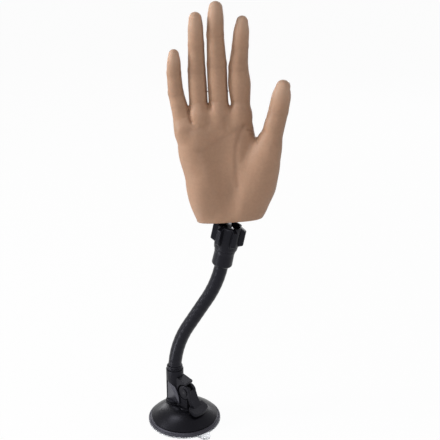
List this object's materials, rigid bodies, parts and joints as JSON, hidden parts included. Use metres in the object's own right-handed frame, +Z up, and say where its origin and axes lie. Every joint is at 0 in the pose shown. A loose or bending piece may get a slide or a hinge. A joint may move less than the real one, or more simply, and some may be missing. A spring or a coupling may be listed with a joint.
{
  "type": "nail practice hand",
  "caption": "Soft practice hand for manicure training, palm to the front, on a ball joint and a bendable arm with a lever-locked suction base.",
  "frame": {"origin": "middle of the underside of the gel pad, on the table", "axes": "+Z up from the table, -Y towards the palm side, +X towards the thumb"},
  "size_m": [0.1308, 0.0719, 0.4014],
  "materials": {
    "silicone": "satin",
    "nail_plastic": "gloss",
    "bone_plastic": "matte",
    "seat_plastic": "matte",
    "black_plastic": "satin",
    "gloss_black": "gloss",
    "black_rubber": "satin",
    "clear_gel": "gloss",
    "steel": "satin"
  },
  "bodies": {
    "base": {"gel_pad": "clear_gel", "suction_cup": "black_rubber", "dome_cover": "gloss_black", "tower": "black_plastic", "tower_screws": "steel", "collar": "black_plastic", "arm_core": "steel", "arm_1": "black_rubber"},
    "stem": {"pull_stem": "steel", "lever_pin": "steel"},
    "lever": {"lever": "black_plastic"},
    "link_2": {"arm_2": "black_rubber"},
    "link_3": {"arm_3": "black_rubber"},
    "link_4": {"arm_4": "black_rubber"},
    "socket": {"arm_5": "black_rubber", "socket_sleeve": "black_plastic"},
    "nut": {"lock_nut": "black_plastic"},
    "seat": {"seat_ring": "seat_plastic"},
    "stud": {"ball_stud": "steel"},
    "palm": {"palm_skin": "silicone", "palm_core": "bone_plastic", "knuckle_bar": "bone_plastic", "thumb_bracket": "bone_plastic", "wrist_plate": "black_plastic", "palm_screws": "steel", "knuckle_pins": "steel"},
    "index_root": {"index_root_skin": "silicone", "index_root_bone": "bone_plastic"},
    "index_mid": {"index_mid_skin": "silicone", "index_mid_bone": "bone_plastic"},
    "index_tip": {"index_tip_skin": "silicone", "index_tip_bone": "bone_plastic"},
    "index_nail": {"index_nail": "nail_plastic"},
    "middle_root": {"middle_root_skin": "silicone", "middle_root_bone": "bone_plastic"},
    "middle_mid": {"middle_mid_skin": "silicone", "middle_mid_bone": "bone_plastic"},
    "middle_tip": {"middle_tip_skin": "silicone", "middle_tip_bone": "bone_plastic"},
    "middle_nail": {"middle_nail": "nail_plastic"},
    "ring_root": {"ring_root_skin": "silicone", "ring_root_bone": "bone_plastic"},
    "ring_mid": {"ring_mid_skin": "silicone", "ring_mid_bone": "bone_plastic"},
    "ring_tip": {"ring_tip_skin": "silicone", "ring_tip_bone": "bone_plastic"},
    "ring_nail": {"ring_nail": "nail_plastic"},
    "little_root": {"little_root_skin": "silicone", "little_root_bone": "bone_plastic"},
    "little_mid": {"little_mid_skin": "silicone", "little_mid_bone": "bone_plastic"},
    "little_tip": {"little_tip_skin": "silicone", "little_tip_bone": "bone_plastic"},
    "little_nail": {"little_nail": "nail_plastic"},
    "thumb_root": {"thumb_root_skin": "silicone", "thumb_root_bone": "bone_plastic"},
    "thumb_tip": {"thumb_tip_skin": "silicone", "thumb_tip_bone": "bone_plastic"},
    "thumb_nail": {"thumb_nail": "nail_plastic"}
  },
  "joints": [
    {"name": "lever_flip", "type": "hinge", "parent": "stem", "child": "lever", "pos_m": [0.0034, -0.00295, 0.033], "axis": [-0.6561, -0.7547, 0], "range_deg": [0, 90]},
    {"name": "stem_slide", "type": "slide", "parent": "base", "child": "stem", "axis": [0, 0, 1], "range_m": [-0.0012, 0], "deforming": ["suction_cup"]},
    {"name": "arm_bend_1", "type": "hinge", "parent": "base", "child": "link_2", "pos_m": [-0.00551, 0.00725, 0.07446], "axis": [0.1736, 0.9848, 0], "range_deg": [-22, 22], "deforming": ["arm_core"]},
    {"name": "arm_bend_2", "type": "hinge", "parent": "link_2", "child": "link_3", "pos_m": [0.00487, 0.00542, 0.09899], "axis": [0.8441, -0.1488, -0.515], "range_deg": [-22, 22], "deforming": ["arm_core"]},
    {"name": "arm_bend_3", "type": "hinge", "parent": "link_3", "child": "link_4", "pos_m": [0.02034, 0.00269, 0.12513], "axis": [0.1736, 0.9848, 0], "range_deg": [-22, 22], "deforming": ["arm_core"]},
    {"name": "arm_bend_4", "type": "hinge", "parent": "link_4", "child": "socket", "pos_m": [0.03073, 0.00086, 0.14588], "axis": [0.9178, -0.1618, -0.3624], "range_deg": [-22, 22], "deforming": ["arm_core"]},
    {"name": "nut_turn", "type": "hinge", "parent": "socket", "child": "nut", "pos_m": [0.04257, -0.00123, 0.19673], "axis": [0.1963, -0.0346, 0.9799], "range_deg": [0, 180]},
    {"name": "ball_swivel", "type": "hinge", "parent": "socket", "child": "seat", "pos_m": [0.04257, -0.00123, 0.19673], "axis": [0.1963, -0.0346, 0.9799], "range_deg": [-170, 170]},
    {"name": "ball_tilt", "type": "hinge", "parent": "seat", "child": "stud", "pos_m": [0.04257, -0.00123, 0.19673], "axis": [1, 0, 0], "range_deg": [-25, 25]},
    {"name": "hand_turn", "type": "hinge", "parent": "stud", "child": "palm", "pos_m": [0.04257, -0.00123, 0.19673], "axis": [0, 0, 1], "range_deg": [-170, 170]},
    {"name": "index_root_bend", "type": "hinge", "parent": "palm", "child": "index_root", "pos_m": [0.05197, -0.00123, 0.31873], "axis": [0.9976, 0, 0.0698], "range_deg": [0, 60]},
    {"name": "index_mid_bend", "type": "hinge", "parent": "index_root", "child": "index_mid", "pos_m": [0.05, -0.00221, 0.34684], "axis": [0.9971, 0, -0.0767], "range_deg": [0, 70]},
    {"name": "index_tip_bend", "type": "hinge", "parent": "index_mid", "child": "index_tip", "pos_m": [0.05141, -0.00382, 0.36512], "axis": [0.9978, 0, -0.0663], "range_deg": [0, 40]},
    {"name": "index_nail_pull", "type": "slide", "parent": "index_tip", "child": "index_nail", "axis": [0.0656, -0.1392, 0.9881], "range_m": [0, 0.012]},
    {"name": "middle_root_bend", "type": "hinge", "parent": "palm", "child": "middle_root", "pos_m": [0.03327, -0.00123, 0.31953], "axis": [0.9991, 0, 0.0419], "range_deg": [0, 60]},
    {"name": "middle_mid_bend", "type": "hinge", "parent": "middle_root", "child": "middle_mid", "pos_m": [0.03201, -0.00228, 0.34948], "axis": [0.9986, 0, 0.0523], "range_deg": [0, 70]},
    {"name": "middle_tip_bend", "type": "hinge", "parent": "middle_mid", "child": "middle_tip", "pos_m": [0.03071, -0.00446, 0.37435], "axis": [0.9998, 0, -0.0175], "range_deg": [0, 40]},
    {"name": "middle_nail_pull", "type": "slide", "parent": "middle_tip", "child": "middle_nail", "axis": [0.0173, -0.1392, 0.9901], "range_m": [0, 0.012]},
    {"name": "ring_root_bend", "type": "hinge", "parent": "palm", "child": "ring_root", "pos_m": [0.01637, -0.00123, 0.31773], "axis": [0.999, 0, 0.0454], "range_deg": [0, 60]},
    {"name": "ring_mid_bend", "type": "hinge", "parent": "ring_root", "child": "ring_mid", "pos_m": [0.01516, -0.00216, 0.34438], "axis": [0.9999, 0, 0.0105], "range_deg": [0, 70]},
    {"name": "ring_tip_bend", "type": "hinge", "parent": "ring_mid", "child": "ring_tip", "pos_m": [0.01493, -0.00406, 0.3661], "axis": [0.9998, 0, 0.0209], "range_deg": [0, 40]},
    {"name": "ring_nail_pull", "type": "slide", "parent": "ring_tip", "child": "ring_nail", "axis": [-0.0207, -0.1392, 0.9901], "range_m": [0, 0.012]},
    {"name": "little_root_bend", "type": "hinge", "parent": "palm", "child": "little_root", "pos_m": [0.00197, -0.00123, 0.30473], "axis": [0.9744, 0, 0.225], "range_deg": [0, 60]},
    {"name": "little_mid_bend", "type": "hinge", "parent": "little_root", "child": "little_mid", "pos_m": [-0.00271, -0.00196, 0.32498], "axis": [0.9976, 0, 0.0698], "range_deg": [0, 70]},
    {"name": "little_tip_bend", "type": "hinge", "parent": "little_mid", "child": "little_tip", "pos_m": [-0.0039, -0.00346, 0.34207], "axis": [0.9998, 0, -0.0175], "range_deg": [0, 40]},
    {"name": "little_nail_pull", "type": "slide", "parent": "little_tip", "child": "little_nail", "axis": [0.0173, -0.1392, 0.9901], "range_m": [0, 0.012]},
    {"name": "thumb_root_bend", "type": "hinge", "parent": "palm", "child": "thumb_root", "pos_m": [0.07817, -0.00823, 0.28473], "axis": [-0.6901, 0.7071, 0.1543], "range_deg": [-35, 0]},
    {"name": "thumb_tip_bend", "type": "hinge", "parent": "thumb_root", "child": "thumb_tip", "pos_m": [0.08406, -0.00823, 0.31108], "axis": [-0.691, 0.7061, 0.1544], "range_deg": [-45, 0]},
    {"name": "thumb_nail_pull", "type": "slide", "parent": "thumb_tip", "child": "thumb_nail", "axis": [0.1665, -0.0523, 0.9846], "range_m": [0, 0.012]}
  ],
  "couplings": [
    {"joint": "lever_flip", "follows": "stem_slide", "rad_per_m": -1309}
  ]
}
